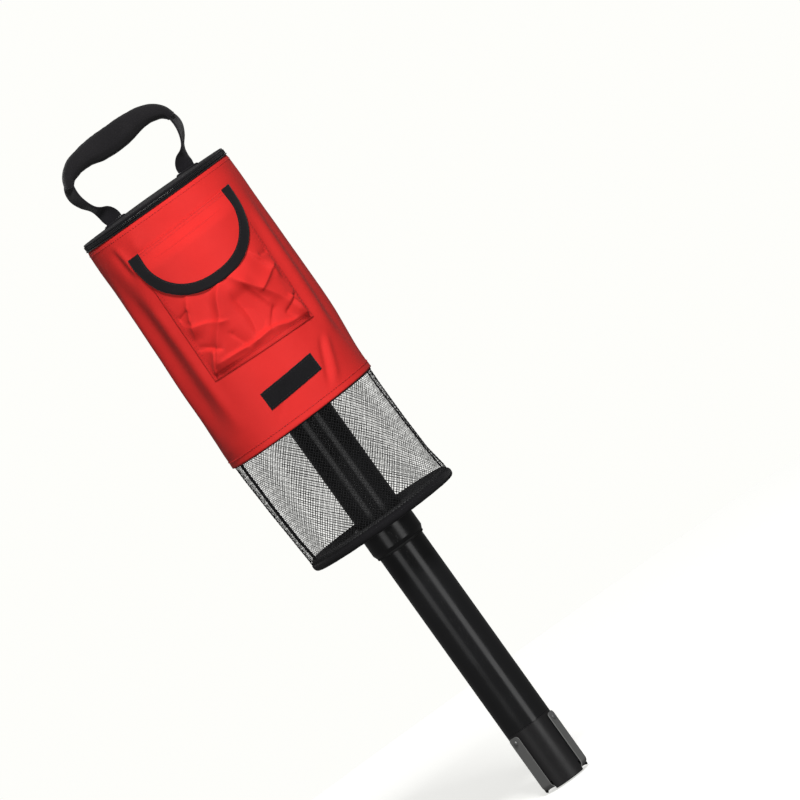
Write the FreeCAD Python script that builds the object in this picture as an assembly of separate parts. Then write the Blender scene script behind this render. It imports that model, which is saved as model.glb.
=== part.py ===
"""Ball pick-up bag: a pick-up tube with sprung clips at its mouth, a round base plate, a net skirt,
a nylon shell with a front pocket, and a zipped lid with a carrying handle.

Millimetres. +Z is up, the origin is the centre of the tube's mouth, the front faces -Y.
An azimuth is in degrees, counted from the front (-Y) towards the right (+X).
"""
import FreeCAD, Part
import math
import os

# --- driving dimensions ---------------------------------------------------------------------------
TUBE_R = 25.0             # outside of both tubes
BORE_R = 22.8             # inside of both tubes, a ball of 42.67 mm passes through
NECK_R = 23.9             # outside of the thinned tube end inside the tip sleeve
TIP_TOP = 67.0            # top of the tip sleeve
TUBE_JOINT_Z = 300.0      # where the lower tube meets the upper tube
UPPER_TUBE_TOP = 572.0
PLATE_BOTTOM = 307.4      # underside of the round base, with its binding
PLATE_TOP = 321.2
PLATE_R = 82.3
SHELL_BOTTOM = 439.0
SHELL_TOP = 690.8
SHELL_R = 84.0
SHELL_TOP_R = 83.4        # the shell narrows a little to the rim
CLOTH = 1.2               # thickness of the shell's cloth
SLIP = 0.3                # gap between parts that move past each other
TOUCH = 0.05              # gap between parts that are pressed or sewn together

# spring clips
CLIP_AZIMUTHS = {"left": -60.0, "right": 60.0, "rear": 180.0}
CLIP_WIDTH = 15.5
CLIP_GAUGE = 0.8
CLIP_TOP = 64.5
CLIP_BEND_Z = 8.0         # where the strip starts to curl inwards
CLIP_LIP_R = 20.2         # the lip's tip, less than a ball's radius
RIVET_Z = 59.0

# collar under the base plate
COLLAR_R = 28.5
COLLAR_BOTTOM = 283.0
COLLAR_TOP = 315.0
COLLAR_CHAMFER = (1.8, 4.0)
FLANGE_R = 41.0
FLANGE_BOTTOM = 307.6
WEB_BOTTOM = 311.0
WEB_TOP = 313.6
SCREW_PITCH_R = 35.0
SCREW_R = 1.5

# net skirt: outside radius and height, from its foot to its top inside the shell
NET_OUTLINE = [(81.6, 321.3), (80.5, 345.0), (81.3, 395.0), (82.2, 439.0), (82.2, 455.0)]
NET_THICK = 1.0

# side stays and top hoop
STAY_AZIMUTH = 80.0
STAY_WIDTH = 13.0
STAY_R = (77.6, 79.0)
HOOP_Z = 681.0
HOOP_R = 80.2
HOOP_WIRE_R = 1.6

# zip between the shell's rim and the lid
PIPING_TOP = 692.1
LOWER_TEETH = (692.5, 694.0)
UPPER_TEETH = (695.0, 696.5)
TEETH_R = (82.0, 83.4)
TAPE_R = (81.4, 82.0)
ZIP_END = 143.0           # azimuth where the lid's half of the zip ends, on each side
SLIDER_AZIMUTH = 150.0    # where the slider rests when the lid is closed
SLIDER_LENGTH = 9.0
HINGE_END = 158.0         # azimuth where the lid's cloth hinge starts, on each side

# lid
LID_R = 82.2
LID_EDGE_Z = 697.0
LID_RISE = 2.4
LID_THICK = 1.4
ANCHOR_X = 43.5
ANCHOR_TOP = 701.9

# handle
STRAP_GAUGE = 2.4
HANDLE_HINGE_Z = ANCHOR_TOP + SLIP + STRAP_GAUGE / 2
# x, z of the strap's middle on the right, then its size in the arch's plane and along Y
STRAP_STATIONS = [
    (43.5, HANDLE_HINGE_Z, 18.0, 2.4),
    (47.5, 711.5, 14.0, 6.0),
    (53.8, 722.0, 7.5, 14.0),
    (60.0, 732.0, 8.0, 19.0),
    (62.6, 742.0, 8.2, 20.0),
    (61.0, 752.0, 8.2, 20.0),
    (54.5, 761.0, 6.0, 17.0),
    (44.0, 766.5, 5.0, 15.0),
    (22.0, 768.5, 5.0, 15.0),
]
STRAP_MIDDLE = (0.0, 767.5, 5.0, 15.0)
GRIP_STATIONS = [
    (57.8, 757.6, 9.0, 21.0),
    (50.5, 764.0, 14.5, 22.0),
    (40.0, 769.0, 20.0, 23.0),
    (22.0, 769.0, 25.0, 24.0),
]
GRIP_MIDDLE = (0.0, 767.4, 28.0, 24.0)

# pocket and flap on the front
POCKET_BOTTOM = 517.0
POCKET_TOP = 652.0
POCKET_HALF_ANGLE = 42.5
POCKET_DEPTH = 5.8        # free depth inside, at the middle
PANEL_THICK = 1.0
FLAP_TOP = 665.0
FLAP_DROP = 69.0
FLAP_HALF_WIDTH = 63.0
FLAP_CLEARANCE = 1.7
FLAP_BINDING_WIDTH = 11.0
HOOK_TAPE_THICK = 0.6
HOOK_TAPE_HALF_WIDTH = 20.0
HOOK_TAPE_Z = (612.0, 630.0)

# black loop patch below the pocket
PATCH_Z = 477.0
PATCH_SIZE = (65.0, 19.5)
PATCH_TILT = 4.0

UP = FreeCAD.Vector(0, 0, 1)
ORIGIN = FreeCAD.Vector(0, 0, 0)


# --- helpers --------------------------------------------------------------------------------------
def vec(x, y, z):
    return FreeCAD.Vector(x, y, z)


def lathe(outline):
    """Solid turned about Z from (radius, height) points."""
    points = [vec(r, 0, z) for r, z in outline]
    face = Part.Face(Part.makePolygon(points + points[:1]))
    return face.revolve(ORIGIN, UP, 360)


def ring(r_in, r_out, z_low, z_high):
    return lathe([(r_in, z_low), (r_out, z_low), (r_out, z_high), (r_in, z_high)])


def turned(shape, azimuth):
    """A shape made at the front, turned to an azimuth."""
    copy = shape.copy()
    copy.rotate(ORIGIN, UP, azimuth)
    return copy


def wedge(azimuth_low, azimuth_high, reach=130.0, z_low=250.0, height=500.0):
    """A prism over the azimuths between two limits, up to 180 degrees apart."""
    steps = 6
    points = [vec(0, 0, z_low)]
    for i in range(steps + 1):
        a = math.radians(azimuth_low + (azimuth_high - azimuth_low) * i / steps)
        points.append(vec(reach * math.sin(a), -reach * math.cos(a), z_low))
    face = Part.Face(Part.makePolygon(points + points[:1]))
    return face.extrude(vec(0, 0, height))


def cross_rod(radius, length, y, z):
    """A cylinder along X, centred at x = 0."""
    return Part.makeCylinder(radius, length, vec(-length / 2, y, z), vec(1, 0, 0))


def radial_rod(radius, y_from, y_to, z):
    """A cylinder along Y at the front, from one distance to another."""
    return Part.makeCylinder(radius, abs(y_to - y_from), vec(0, -y_from, z), vec(0, -1, 0))


def block(x, y, z):
    """A box between (low, high) pairs."""
    return Part.makeBox(x[1] - x[0], y[1] - y[0], z[1] - z[0], vec(x[0], y[0], z[0]))


def offset_cylinder(radius, centre_y, z_low, z_high):
    return Part.makeCylinder(radius, z_high - z_low, vec(0, centre_y, z_low))


def bulge_circle(front, side_radius, side_azimuth):
    """Centre y and radius of the circle through the front point (0, -front) and, on both sides,
    the point at the given radius and azimuth from the bag's axis."""
    x = side_radius * math.sin(math.radians(side_azimuth))
    y = side_radius * math.cos(math.radians(side_azimuth))
    c = (front * front - x * x - y * y) / (2 * (front - y))
    return -c, front - c


POCKET_CENTRE_Y, POCKET_R = bulge_circle(
    SHELL_R + 0.2 + POCKET_DEPTH + PANEL_THICK, SHELL_R + 0.4, POCKET_HALF_ANGLE
)
FLAP_R = POCKET_R + FLAP_CLEARANCE


# --- pick-up tube and its mouth -------------------------------------------------------------------
def clip_notches():
    """The three notches in the mouth's rim that the clips' lips reach through."""
    half = CLIP_WIDTH / 2 + 0.8
    notch = block((-half, half), (-30, -18), (-1, CLIP_BEND_Z + 1.5))
    return [turned(notch, a) for a in CLIP_AZIMUTHS.values()]


def rivet_holes(radius):
    hole = radial_rod(radius, 20, 30, RIVET_Z)
    return [turned(hole, a) for a in CLIP_AZIMUTHS.values()]


def lower_tube():
    tube = lathe([
        (BORE_R, 3.0), (NECK_R, 3.0), (NECK_R, TIP_TOP + 0.1), (TUBE_R, TIP_TOP + 0.1),
        (TUBE_R, TUBE_JOINT_Z - 1.2), (TUBE_R - 0.8, TUBE_JOINT_Z - 0.2), (BORE_R, TUBE_JOINT_Z - 0.2),
    ])
    return tube.cut(clip_notches() + rivet_holes(1.65))


def tip_sleeve():
    inside = NECK_R + TOUCH
    sleeve = lathe([
        (BORE_R + 0.8, 0.0), (TUBE_R - 0.8, 0.0), (TUBE_R, 0.8), (TUBE_R, TIP_TOP - 0.4),
        (TUBE_R - 0.4, TIP_TOP), (inside, TIP_TOP), (inside, 2.9), (BORE_R, 2.9), (BORE_R, 0.8),
    ])
    return sleeve.cut(clip_notches() + rivet_holes(1.65))


def spring_clip():
    """A flat spring strip at the front, riveted near its top, its foot curled in to a lip."""
    inner = TUBE_R + SLIP
    outer = inner + CLIP_GAUGE
    bend_in = inner - CLIP_LIP_R
    bend_out = outer - CLIP_LIP_R
    bend_centre = (CLIP_LIP_R, CLIP_BEND_Z)

    def curl(radius):
        """Quarter turn from the strip down and inwards to the lip."""
        cr, cz = bend_centre
        mid = radius * math.sqrt(0.5)
        return Part.Arc(
            vec(0, -(cr + radius), cz), vec(0, -(cr + mid), cz - mid), vec(0, -cr, cz - radius)
        ).toShape()

    foot_in = vec(0, -CLIP_LIP_R, CLIP_BEND_Z - bend_in)
    foot_out = vec(0, -CLIP_LIP_R, CLIP_BEND_Z - bend_out)
    edges = [
        Part.makeLine(vec(0, -inner, CLIP_TOP), vec(0, -outer, CLIP_TOP)),
        Part.makeLine(vec(0, -outer, CLIP_TOP), vec(0, -outer, CLIP_BEND_Z)),
        curl(bend_out),
        Part.makeLine(foot_out, foot_in),
        curl(bend_in),
        Part.makeLine(vec(0, -inner, CLIP_BEND_Z), vec(0, -inner, CLIP_TOP)),
    ]
    face = Part.Face(Part.Wire(Part.__sortEdges__(edges)))
    strip = face.extrude(vec(CLIP_WIDTH, 0, 0))
    strip.translate(vec(-CLIP_WIDTH / 2, 0, 0))
    corners = [
        e for e in strip.Edges
        if e.Length < CLIP_GAUGE * 1.1
        and abs(e.CenterOfMass.z - CLIP_TOP) < 0.01
        and abs(abs(e.CenterOfMass.x) - CLIP_WIDTH / 2) < 0.01
    ]
    strip = strip.makeFillet(4.0, corners)
    return strip.cut(radial_rod(2.0, 20, 30, RIVET_Z))


def rivet():
    """Domed rivet at the front; the strip has room under its head to flex."""
    head_from = TUBE_R + SLIP + CLIP_GAUGE + 0.6
    head_r = 3.0
    head_h = 1.3
    ball_r = (head_r ** 2 + head_h ** 2) / (2 * head_h)
    ball = Part.makeSphere(ball_r, vec(0, ball_r - head_from - head_h, RIVET_Z))
    head = ball.common(radial_rod(head_r + 1, head_from, head_from + 3, RIVET_Z))
    shank = radial_rod(1.6, BORE_R + 0.1, head_from + 0.3, RIVET_Z)
    return head.fuse(shank).removeSplitter()


# --- base plate and collar ------------------------------------------------------------------------
def screw_places():
    return [45.0 + 90.0 * i for i in range(4)]


def screw_holes(radius):
    hole = Part.makeCylinder(radius, 30, vec(0, -SCREW_PITCH_R, FLANGE_BOTTOM - 5))
    return [turned(hole, a) for a in screw_places()]


def collar():
    dr, dz = COLLAR_CHAMFER
    body = lathe([
        (TUBE_R + SLIP, COLLAR_BOTTOM), (COLLAR_R - dr, COLLAR_BOTTOM), (COLLAR_R, COLLAR_BOTTOM + dz),
        (COLLAR_R, FLANGE_BOTTOM), (FLANGE_R, FLANGE_BOTTOM), (FLANGE_R, WEB_BOTTOM),
        (COLLAR_R, WEB_BOTTOM), (COLLAR_R, COLLAR_TOP), (TUBE_R + TOUCH, COLLAR_TOP),
        (TUBE_R + TOUCH, TUBE_JOINT_Z), (TUBE_R + SLIP, TUBE_JOINT_Z),
    ])
    return body.cut(screw_holes(SCREW_R + 0.2))


def grip_ring():
    """Soft ring at the collar's mouth that holds the lower tube by friction."""
    return lathe([
        (TUBE_R + SLIP, 280.6), (26.3, 280.6), (26.7, 281.2), (26.7, COLLAR_BOTTOM),
        (TUBE_R + SLIP, COLLAR_BOTTOM),
    ])


def base_plate():
    hole = COLLAR_R + TOUCH
    rim_in = PLATE_R - 7.8
    rim_out = PLATE_R - 2.4
    low = PLATE_BOTTOM + 1.8
    high = PLATE_TOP - 1.8
    plate = lathe([
        (hole, WEB_BOTTOM), (rim_in, WEB_BOTTOM), (rim_in, low + 0.8), (rim_in + 0.8, low),
        (rim_out - 1.2, low), (rim_out, low + 1.2), (rim_out, high - 1.2), (rim_out - 1.2, high),
        (rim_in + 0.8, high), (rim_in, high - 0.8), (rim_in - 2.0, WEB_TOP + 0.9),
        (rim_in - 4.5, WEB_TOP), (31.4, WEB_TOP), (30.8, COLLAR_TOP), (hole, COLLAR_TOP),
    ])
    return plate.cut(screw_holes(SCREW_R + 0.2))


def rim_binding():
    """Cloth binding folded over the plate's rim, from under it to its top."""
    inner_edge = PLATE_R - 6.6
    rim_out = PLATE_R - 2.4 + TOUCH
    low = PLATE_BOTTOM
    high = PLATE_TOP
    fold = 1.75
    return lathe([
        (inner_edge, low + 0.4), (inner_edge + 0.6, low), (PLATE_R - 3.2, low), (PLATE_R - 1.0, low + 1.0),
        (PLATE_R, low + 3.2), (PLATE_R, high - 3.2), (PLATE_R - 1.0, high - 1.0), (PLATE_R - 2.6, high),
        (inner_edge + 0.6, high), (inner_edge, high - 0.4), (inner_edge, high - fold),
        (rim_out, high - fold), (rim_out, low + fold), (inner_edge, low + fold),
    ])


def plate_screws():
    head = Part.makeCylinder(3.0, 1.8, vec(0, -SCREW_PITCH_R, FLANGE_BOTTOM - 1.8))
    head = head.makeChamfer(0.5, [e for e in head.Edges if e.CenterOfMass.z < FLANGE_BOTTOM - 1.7])
    shank = Part.makeCylinder(SCREW_R, 9.2, vec(0, -SCREW_PITCH_R, FLANGE_BOTTOM))
    screw = head.fuse(shank).removeSplitter()
    return Part.makeCompound([turned(screw, a) for a in screw_places()])


def plate_nuts():
    across_corners = 3.2
    corners = [
        vec(across_corners * math.cos(math.radians(60 * i)),
            across_corners * math.sin(math.radians(60 * i)) - SCREW_PITCH_R, WEB_TOP)
        for i in range(7)
    ]
    nut = Part.Face(Part.makePolygon(corners)).extrude(vec(0, 0, 2.4))
    nut = nut.cut(Part.makeCylinder(SCREW_R + TOUCH, 10, vec(0, -SCREW_PITCH_R, WEB_TOP - 2)))
    return Part.makeCompound([turned(nut, a) for a in screw_places()])


def upper_tube():
    return lathe([
        (BORE_R, TUBE_JOINT_Z), (TUBE_R, TUBE_JOINT_Z), (TUBE_R, UPPER_TUBE_TOP), (BORE_R, UPPER_TUBE_TOP),
    ])


def upper_tube_rim():
    """Rounded rim that balls roll over as they drop into the bag."""
    low = UPPER_TUBE_TOP
    return lathe([
        (BORE_R, low), (TUBE_R + 1.2, low), (TUBE_R + 1.2, low + 2.6), (TUBE_R + 0.2, low + 3.8),
        (BORE_R + 1.0, low + 3.8), (BORE_R, low + 2.8),
    ])


# --- bag ------------------------------------------------------------------------------------------
def net_skirt():
    """Closed solid of the net's outer shape, held between the plate's rim and the shell's hem."""
    outer = Part.BSplineCurve()
    outer.interpolate([vec(r, 0, z) for r, z in NET_OUTLINE])
    inner = Part.BSplineCurve()
    inner.interpolate([vec(r - NET_THICK, 0, z) for r, z in NET_OUTLINE])
    foot, top = NET_OUTLINE[0], NET_OUTLINE[-1]
    edges = [
        outer.toShape(),
        Part.makeLine(vec(top[0], 0, top[1]), vec(top[0] - NET_THICK, 0, top[1])),
        inner.toShape(),
        Part.makeLine(vec(foot[0] - NET_THICK, 0, foot[1]), vec(foot[0], 0, foot[1])),
    ]
    return Part.Face(Part.Wire(Part.__sortEdges__(edges))).revolve(ORIGIN, UP, 360)


def shell():
    shoulder = SHELL_TOP - 90.0
    return lathe([
        (SHELL_R - CLOTH, SHELL_BOTTOM), (SHELL_R, SHELL_BOTTOM), (SHELL_R, shoulder),
        (SHELL_TOP_R, SHELL_TOP), (SHELL_TOP_R - CLOTH, SHELL_TOP), (SHELL_R - CLOTH, shoulder),
    ])


def hem_tape():
    """Black tape inside the shell's lower hem, over the net's top edge."""
    return ring(82.3, SHELL_R - CLOTH - TOUCH, SHELL_BOTTOM - 1.2, SHELL_BOTTOM + 8.0)


def rim_piping():
    low = SHELL_TOP
    return lathe([
        (SHELL_TOP_R - CLOTH, low), (84.0, low), (84.2, low + 0.5), (83.8, PIPING_TOP),
        (SHELL_TOP_R - CLOTH, PIPING_TOP),
    ])


def top_hoop():
    return Part.makeTorus(HOOP_R, HOOP_WIRE_R, vec(0, 0, HOOP_Z))


def side_stay(side):
    half = math.degrees(STAY_WIDTH / 2 / STAY_R[0])
    middle = side * STAY_AZIMUTH
    strip = ring(STAY_R[0], STAY_R[1], PLATE_TOP + 0.3, HOOP_Z - HOOP_WIRE_R - 0.3)
    return strip.common(wedge(middle - half, middle + half))


def zip_tape_lower():
    return ring(TAPE_R[0], TAPE_R[1], HOOP_Z + 3.0, LOWER_TEETH[1])


def zip_teeth_lower():
    row = ring(TEETH_R[0], TEETH_R[1], LOWER_TEETH[0], LOWER_TEETH[1])
    return row.cut(wedge(HINGE_END - 1, 361 - HINGE_END))


def zip_half(shape):
    """The lid's half of the zip, open over the cloth hinge at the back."""
    return shape.cut(wedge(ZIP_END, 360 - ZIP_END))


def zip_teeth_upper():
    return zip_half(ring(TEETH_R[0], TEETH_R[1], UPPER_TEETH[0], UPPER_TEETH[1]))


def zip_tape_upper():
    return zip_half(ring(TAPE_R[0], TAPE_R[1], UPPER_TEETH[0], LID_EDGE_Z))


def lid_hinge_tape():
    strip = ring(82.3, 83.3, PIPING_TOP + TOUCH, LID_EDGE_Z - 0.5)
    return strip.common(wedge(HINGE_END, 360 - HINGE_END))


# --- lid and handle -------------------------------------------------------------------------------
def dome_edge(radius, edge_z):
    """Arc from the axis down to the lid's edge."""
    top = edge_z + LID_RISE
    half = edge_z + LID_RISE * 0.75
    return Part.Arc(vec(0, 0, top), vec(radius / 2, 0, half), vec(radius, 0, edge_z)).toShape()


def domed_disc(radius, low_z, high_z):
    edges = [
        dome_edge(radius, low_z),
        dome_edge(radius, high_z),
        Part.makeLine(vec(radius, 0, low_z), vec(radius, 0, high_z)),
        Part.makeLine(vec(0, 0, low_z + LID_RISE), vec(0, 0, high_z + LID_RISE)),
    ]
    return Part.Face(Part.Wire(Part.__sortEdges__(edges))).revolve(ORIGIN, UP, 360)


def lid_panel():
    return domed_disc(LID_R, LID_EDGE_Z, LID_EDGE_Z + LID_THICK)


def lid_binding():
    low = LID_EDGE_Z - 0.1
    return lathe([
        (LID_R + TOUCH, low), (83.4, low), (83.9, low + 0.6), (83.6, low + 1.5), (LID_R + TOUCH, low + 1.7),
    ])


def handle_anchor(side):
    """Reinforcing pad on the lid that the strap's end is sewn to."""
    x = side * ANCHOR_X
    pad = block((x - 12, x + 12), (-6.5, 6.5), (LID_EDGE_Z, ANCHOR_TOP))
    return pad.cut(domed_disc(LID_R, LID_EDGE_Z - 8, LID_EDGE_Z + LID_THICK + TOUCH))


def stations(half, middle):
    """All stations from left to right: the mirrored half, the middle and the half."""
    left = [(-x, z, a, b) for x, z, a, b in half]
    return left + [middle] + half[::-1]


def section_frame(row, i):
    """In-plane normal of the arch at station i."""
    x0, z0 = row[max(i - 1, 0)][:2]
    x1, z1 = row[min(i + 1, len(row) - 1)][:2]
    length = math.hypot(x1 - x0, z1 - z0)
    return -(z1 - z0) / length, (x1 - x0) / length


def strap_solid(margin):
    """Handle strap from base to base, grown by a margin."""
    row = stations(STRAP_STATIONS, STRAP_MIDDLE)
    wires = []
    for i, (x, z, a, b) in enumerate(row):
        nx, nz = section_frame(row, i)
        if i in (0, len(row) - 1):
            nx, nz = math.copysign(1.0, nx), 0.0
        ha, hb = a / 2 + margin, b / 2 + margin
        corners = [
            vec(x + s * ha * nx, t * hb, z + s * ha * nz) for s, t in ((-1, -1), (1, -1), (1, 1), (-1, 1))
        ]
        wires.append(Part.makePolygon(corners + corners[:1]))
    return Part.makeLoft(wires, True, True)


def handle_webbing():
    strap = strap_solid(0.0)
    for x in (-ANCHOR_X, ANCHOR_X):
        end = cross_rod(STRAP_GAUGE / 2, 18.0, 0, HANDLE_HINGE_Z)
        end.translate(vec(x, 0, 0))
        strap = strap.fuse(end)
    return strap


def handle_grip():
    """Padded grip round the strap."""
    row = stations(GRIP_STATIONS, GRIP_MIDDLE)
    wires = []
    for i, (x, z, a, b) in enumerate(row):
        nx, nz = section_frame(row, i)
        normal = vec(nx, 0, nz)
        long_axis = normal if a >= b else vec(0, 1, 0)
        short_axis = vec(0, 1, 0) if a >= b else normal
        axis = long_axis.cross(short_axis)
        ellipse = Part.Ellipse(
            vec(x, 0, z) + long_axis * (max(a, b) / 2), vec(x, 0, z) + short_axis * (min(a, b) / 2), vec(x, 0, z)
        )
        if axis.x < 0:
            ellipse.reverse()
        wires.append(Part.Wire(ellipse.toShape()))
    body = Part.makeLoft(wires, True, True)
    return body.cut(strap_solid(0.2))


# --- zip slider and puller ------------------------------------------------------------------------
SLIDER_LOW = PIPING_TOP + SLIP
SLIDER_HIGH = LID_EDGE_Z - 0.1 - SLIP
SLIDER_OUT = (TEETH_R[1] + SLIP, TEETH_R[1] + SLIP + 1.2)
PIN_Y = SLIDER_OUT[1] + 2.1
PIN_Z = (SLIDER_LOW + SLIDER_HIGH) / 2
PULLER_LENGTH = 20.0


def slider_sector(r_in, r_out, z_low, z_high, length):
    half = math.degrees(length / 2 / r_in)
    return ring(r_in, r_out, z_low, z_high).common(wedge(-half, half))


def zip_slider():
    outer = slider_sector(SLIDER_OUT[0], SLIDER_OUT[1], SLIDER_LOW, SLIDER_HIGH, SLIDER_LENGTH)
    inner = slider_sector(TAPE_R[0] - 1.4, TAPE_R[0] - SLIP, SLIDER_LOW, SLIDER_HIGH, SLIDER_LENGTH)
    web = slider_sector(TAPE_R[0] - 0.8, SLIDER_OUT[0] + 0.4, PIN_Z - 0.25, PIN_Z + 0.25, 3.5)
    slider = outer.fuse([inner, web])
    for side in (-1, 1):
        x = sorted((side * 2.9, side * 3.8))
        ear = block(x, (-PIN_Y - 0.9, -SLIDER_OUT[0] - 0.5), (PIN_Z - 1.1, PIN_Z + 1.1))
        slider = slider.fuse(ear)
    slider = slider.fuse(cross_rod(0.6, 6.4, -PIN_Y, PIN_Z))
    return turned(slider.removeSplitter(), SLIDER_AZIMUTH)


def zip_puller():
    """Pull tab hanging from the slider's pin."""
    low = PIN_Z - PULLER_LENGTH
    eye = cross_rod(1.6, 5.2, -PIN_Y, PIN_Z)
    plate = block((-2.6, 2.6), (-PIN_Y - 0.5, -PIN_Y + 0.5), (low, PIN_Z - 0.5))
    tab = eye.fuse(plate)
    tab = tab.cut(cross_rod(0.85, 10, -PIN_Y, PIN_Z))
    slot = block((-1.2, 1.2), (-PIN_Y - 3, -PIN_Y + 3), (low + 2.5, low + 9.5))
    tab = tab.cut(slot).removeSplitter()
    return turned(tab, SLIDER_AZIMUTH)


# --- pocket, flap and patches ---------------------------------------------------------------------
def front_half(shape):
    """Keeps what is in front of the middle of the bag."""
    return shape.common(block((-100, 100), (-120, -20), (400, 700)))


def pocket():
    """Bulged pocket panel with a floor, open at its top between the panel and the shell."""
    outer = offset_cylinder(POCKET_R, POCKET_CENTRE_Y, POCKET_BOTTOM, POCKET_TOP)
    hollow = offset_cylinder(POCKET_R - PANEL_THICK, POCKET_CENTRE_Y, POCKET_BOTTOM + PANEL_THICK, POCKET_TOP + 1)
    bag = offset_cylinder(SHELL_R + 0.2, 0, POCKET_BOTTOM - 1, POCKET_TOP + 2)
    return front_half(outer.cut(hollow).cut(bag))


def bowed_strip(r_in, r_out, half_width, z_low, z_high):
    """A patch that follows the bulge of the pocket."""
    strip = offset_cylinder(r_out, POCKET_CENTRE_Y, z_low, z_high)
    strip = strip.cut(offset_cylinder(r_in, POCKET_CENTRE_Y, z_low - 1, z_high + 1))
    return strip.common(block((-half_width, half_width), (-120, -20), (z_low, z_high)))


def pocket_loop_tape():
    r_in = POCKET_R + TOUCH
    return bowed_strip(r_in, r_in + HOOK_TAPE_THICK, HOOK_TAPE_HALF_WIDTH, HOOK_TAPE_Z[0], HOOK_TAPE_Z[1])


def flap_hook_tape():
    r_out = FLAP_R - TOUCH
    return bowed_strip(r_out - HOOK_TAPE_THICK, r_out, HOOK_TAPE_HALF_WIDTH, HOOK_TAPE_Z[0], HOOK_TAPE_Z[1])


def flap_outline(inset):
    """Prism along Y over the half-round flap outline, pulled in by an inset."""
    half = FLAP_HALF_WIDTH - inset
    drop = FLAP_DROP - inset
    ellipse = Part.Ellipse(vec(0, -120, FLAP_TOP - drop), vec(half, -120, FLAP_TOP), vec(0, -120, FLAP_TOP))
    lower = Part.Face(Part.Wire(ellipse.toShape())).extrude(vec(0, 90, 0))
    return lower.common(block((-90, 90), (-121, -20), (FLAP_TOP - drop - 1, FLAP_TOP)))


def flap_skin(r_in, r_out):
    skin = offset_cylinder(r_out, POCKET_CENTRE_Y, FLAP_TOP - FLAP_DROP - 1, FLAP_TOP)
    return skin.cut(offset_cylinder(r_in, POCKET_CENTRE_Y, FLAP_TOP - FLAP_DROP - 2, FLAP_TOP + 1))


def pocket_flap():
    """Half-round flap with a roof that reaches back to the shell."""
    sheet = flap_skin(FLAP_R, FLAP_R + PANEL_THICK).common(flap_outline(0))
    roof = offset_cylinder(FLAP_R + PANEL_THICK, POCKET_CENTRE_Y, FLAP_TOP - 1.2, FLAP_TOP)
    roof = roof.common(block((-FLAP_HALF_WIDTH, FLAP_HALF_WIDTH), (-120, -20), (FLAP_TOP - 2, FLAP_TOP)))
    bag = offset_cylinder(SHELL_R + SLIP, 0, FLAP_TOP - FLAP_DROP - 2, FLAP_TOP + 1)
    return sheet.fuse(roof).cut(bag).removeSplitter()


def flap_binding():
    """Black binding along the flap's round edge."""
    r_in = FLAP_R + PANEL_THICK + TOUCH
    band = flap_skin(r_in, r_in + 1.0).common(flap_outline(0))
    return band.cut(flap_outline(FLAP_BINDING_WIDTH)).cut(
        offset_cylinder(SHELL_R + SLIP, 0, FLAP_TOP - FLAP_DROP - 2, FLAP_TOP + 1)
    )


def front_patch():
    width, height = PATCH_SIZE
    frame = block((-width / 2, width / 2), (-120, -20), (PATCH_Z - height / 2, PATCH_Z + height / 2))
    frame.rotate(vec(0, 0, PATCH_Z), vec(0, -1, 0), PATCH_TILT)
    return ring(SHELL_R + TOUCH, SHELL_R + 1.2, PATCH_Z - 30, PATCH_Z + 30).common(frame)


# --- nodes ----------------------------------------------------------------------------------------
def build():
    nodes = {
        "lower_tube": lower_tube(),
        "tip_sleeve": tip_sleeve(),
        "clip_rivets": Part.makeCompound([turned(rivet(), a) for a in CLIP_AZIMUTHS.values()]),
        "collar": collar(),
        "grip_ring": grip_ring(),
        "base_plate": base_plate(),
        "rim_binding": rim_binding(),
        "plate_screws": plate_screws(),
        "plate_nuts": plate_nuts(),
        "upper_tube": upper_tube(),
        "upper_tube_rim": upper_tube_rim(),
        "net_skirt": net_skirt(),
        "shell": shell(),
        "hem_tape": hem_tape(),
        "rim_piping": rim_piping(),
        "top_hoop": top_hoop(),
        "side_stay_left": side_stay(-1),
        "side_stay_right": side_stay(1),
        "zip_tape_lower": zip_tape_lower(),
        "zip_teeth_lower": zip_teeth_lower(),
        "zip_teeth_upper": zip_teeth_upper(),
        "zip_tape_upper": zip_tape_upper(),
        "lid_hinge_tape": lid_hinge_tape(),
        "lid_panel": lid_panel(),
        "lid_binding": lid_binding(),
        "handle_anchor_left": handle_anchor(-1),
        "handle_anchor_right": handle_anchor(1),
        "handle_webbing": handle_webbing(),
        "handle_grip": handle_grip(),
        "zip_slider": zip_slider(),
        "zip_puller": zip_puller(),
        "pocket": pocket(),
        "pocket_loop_tape": pocket_loop_tape(),
        "pocket_flap": pocket_flap(),
        "flap_binding": flap_binding(),
        "flap_hook_tape": flap_hook_tape(),
        "front_patch": front_patch(),
    }
    for name, azimuth in CLIP_AZIMUTHS.items():
        nodes["spring_clip_" + name] = turned(spring_clip(), azimuth)
    return nodes


def main():
    os.makedirs("parts", exist_ok=True)
    for name, shape in build().items():
        solids = shape.Solids
        if not solids or not shape.isValid():
            raise ValueError(name + " is not a valid solid")
        body = solids[0] if len(solids) == 1 else Part.makeCompound(solids)
        body.exportStep(os.path.join("parts", name + ".step"))
        print(name, len(solids), round(sum(s.Volume for s in solids) / 1000, 2), "cm3")


main()
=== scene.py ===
"""Golf ball shag bag: the looks. Metres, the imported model's own frame, the front faces -Y."""
import math

import bpy
import numpy as np
from mathutils import Matrix, Vector, noise


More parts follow.
